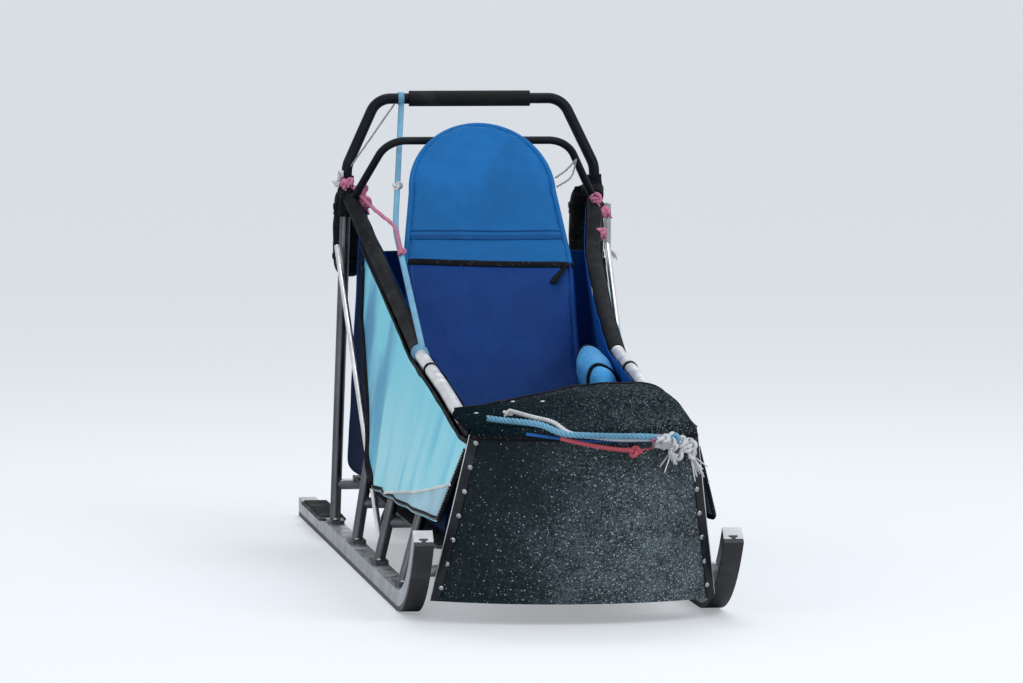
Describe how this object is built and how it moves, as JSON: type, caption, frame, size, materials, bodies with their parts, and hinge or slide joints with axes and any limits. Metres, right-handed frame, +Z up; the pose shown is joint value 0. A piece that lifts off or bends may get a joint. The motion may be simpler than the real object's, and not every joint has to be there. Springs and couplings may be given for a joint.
{
  "type": "dog sled",
  "caption": "Touring dog sled with a cloth cargo bag, handlebar, foot boards, claw brake and drag mat.",
  "frame": {"origin": "on the ground, in the middle of the sled's length and width", "axes": "+X ahead along the runners, +Y to the sled's left, +Z up"},
  "size_m": [2.5, 0.626, 0.9282],
  "materials": {
    "runner_alloy": "satin",
    "shoe_plastic": "matte",
    "pad_rubber": "matte",
    "frame_tube": "satin",
    "black_tube": "satin",
    "brace_alloy": "satin",
    "shield_plastic": "matte, with specks of dried snow",
    "hood_cloth": "matte coated cloth",
    "bed_plastic": "matte",
    "inner_cloth": "coated weave",
    "floor_cloth": "coated weave",
    "band_cloth": "heavy webbing and cloth",
    "panel_cloth": "coated weave, faded towards the top",
    "backrest_cloth": "quilted coated weave",
    "grip_rubber": "matte",
    "pouch_cloth": "heavy woven cloth",
    "steel": "brushed",
    "mat_rubber": "matte",
    "rope": "braided"
  },
  "bodies": {
    "root": {"backrest": "backrest_cloth", "backrest_hoop": "black_tube", "bag_floor": "floor_cloth", "bag_front": "inner_cloth", "bag_rear": "inner_cloth", "bag_wall_left": "inner_cloth", "bag_wall_right": "inner_cloth", "bed": "bed_plastic", "brace_left": "brace_alloy", "brace_right": "brace_alloy", "bridle": "rope", "brush_bow": "frame_tube", "cover_flap": "panel_cloth", "crossbar_back": "frame_tube", "crossbar_front": "frame_tube", "crossbar_middle": "frame_tube", "crossbar_rear": "frame_tube", "foot_pad_left": "pad_rubber", "foot_pad_right": "pad_rubber", "handlebar": "black_tube", "handlebar_grip": "grip_rubber", "hinge_lug_left": "steel", "hinge_lug_right": "steel", "hinge_rod": "steel", "nose_bar": "frame_tube", "nose_hood": "hood_cloth", "nose_shield": "shield_plastic", "nose_strut_left": "frame_tube", "nose_strut_right": "frame_tube", "pouch_left": "pouch_cloth", "pouch_right": "pouch_cloth", "rail_band_left": "band_cloth", "rail_band_right": "band_cloth", "runner_left": "runner_alloy", "runner_right": "runner_alloy", "runner_shoe_left": "shoe_plastic", "runner_shoe_right": "shoe_plastic", "shield_strip_left": "brace_alloy", "shield_strip_right": "brace_alloy", "side_panel_left": "panel_cloth", "side_panel_right": "panel_cloth", "side_rail_left": "frame_tube", "side_rail_right": "frame_tube", "snow_hook_left": "steel", "stanchion_back_left": "frame_tube", "stanchion_back_right": "frame_tube", "stanchion_front_left": "frame_tube", "stanchion_front_right": "frame_tube", "stanchion_middle_left": "frame_tube", "stanchion_middle_right": "frame_tube", "stanchion_rear_left": "frame_tube", "stanchion_rear_right": "frame_tube", "tow_ring": "steel"},
    "brake": {"brake_bar": "steel", "brake_claw_left": "steel", "brake_claw_right": "steel"},
    "mat": {"drag_mat": "mat_rubber"}
  },
  "joints": [
    {"name": "brake_hinge", "type": "hinge", "parent": "root", "child": "brake", "pos_m": [-0.65938, 0, 0.12], "axis": [0, -1, 0], "range_deg": [0, 14], "stiffness_Nm_per_rad": 25, "springref_deg": -20.05},
    {"name": "mat_hinge", "type": "hinge", "parent": "root", "child": "mat", "pos_m": [-0.65938, 0, 0.12], "axis": [0, 1, 0], "range_deg": [0, 95]}
  ]
}
